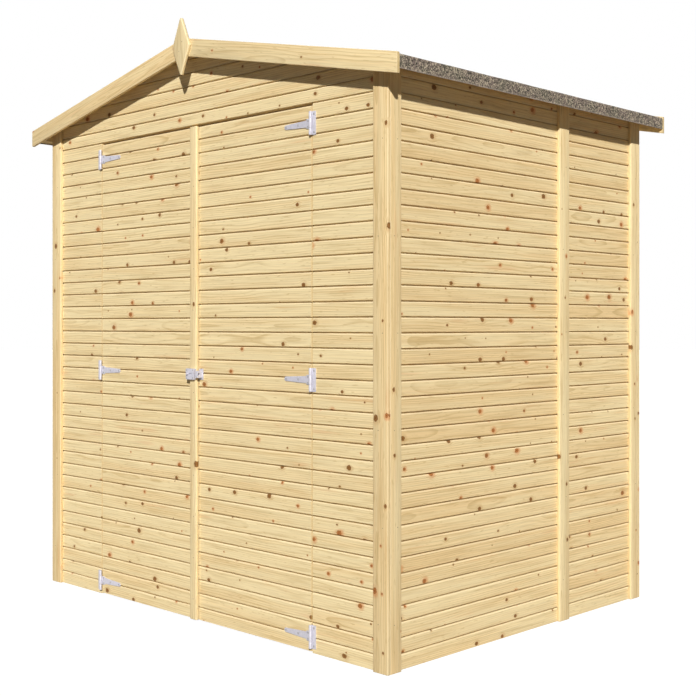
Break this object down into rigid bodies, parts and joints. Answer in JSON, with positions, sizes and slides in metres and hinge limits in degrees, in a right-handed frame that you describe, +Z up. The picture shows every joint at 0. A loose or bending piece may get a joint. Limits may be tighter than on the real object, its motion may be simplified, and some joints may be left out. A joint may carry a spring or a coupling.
{
  "type": "wooden garden shed",
  "caption": "Small apex garden shed of pale pine boards with double doors on tee hinges, corner trims, bargeboards, diamond finials and a mineral felt roof.",
  "frame": {"origin": "on the ground at the middle of the walls, on the underside of the middle floor bearer", "axes": "+Z up, the doors face -Y, +X to the right when facing the doors"},
  "size_m": [1.996, 1.526, 2.0932],
  "materials": {
    "pine": "planed, untreated, with knots",
    "frame_pine": "sawn, untreated",
    "mineral_felt": "matt, mineral speckled",
    "zinc_steel": "galvanised"
  },
  "bodies": {
    "shed": {"floor_bearers": "frame_pine", "floor_deck": "frame_pine", "front_wall_left": "pine", "front_wall_right": "pine", "front_gable": "pine", "left_wall_front": "pine", "left_wall_rear": "pine", "right_wall_front": "pine", "right_wall_rear": "pine", "back_wall_left": "pine", "back_wall_right": "pine", "front_posts": "frame_pine", "front_rails": "frame_pine", "door_stops": "frame_pine", "side_studs": "frame_pine", "side_rails": "frame_pine", "back_studs": "frame_pine", "back_rails": "frame_pine", "front_corner_trims": "pine", "back_corner_trims": "pine", "side_corner_trims": "pine", "side_cover_strips": "pine", "back_cover_strip": "pine", "left_hinge_plates": "zinc_steel", "right_hinge_plates": "zinc_steel", "ridge_beam": "frame_pine", "purlins": "frame_pine", "eaves_battens": "pine", "roof_boards_left": "frame_pine", "roof_boards_right": "frame_pine", "roof_felt_left": "mineral_felt", "roof_felt_right": "mineral_felt", "front_barges": "pine", "back_barges": "pine", "finials": "pine"},
    "door_left": {"door_left_boards": "pine", "door_left_ledges": "frame_pine", "meeting_strip": "pine", "left_hinge_straps": "zinc_steel", "bolt_case": "zinc_steel"},
    "door_right": {"door_right_boards": "pine", "door_right_ledges": "frame_pine", "right_hinge_straps": "zinc_steel", "keeper": "zinc_steel"},
    "latch_bolt": {"bolt": "zinc_steel"}
  },
  "joints": [
    {"name": "door_left_hinge", "type": "hinge", "parent": "shed", "child": "door_left", "pos_m": [-0.584, -0.6995, 0.8595], "axis": [0, 0, -1], "range_deg": [0, 165]},
    {"name": "door_right_hinge", "type": "hinge", "parent": "shed", "child": "door_right", "pos_m": [0.584, -0.6995, 0.8595], "axis": [0, 0, 1], "range_deg": [0, 165]},
    {"name": "bolt_slide", "type": "slide", "parent": "door_left", "child": "latch_bolt", "axis": [1, 0, 0], "range_m": [0, 0.018]}
  ]
}
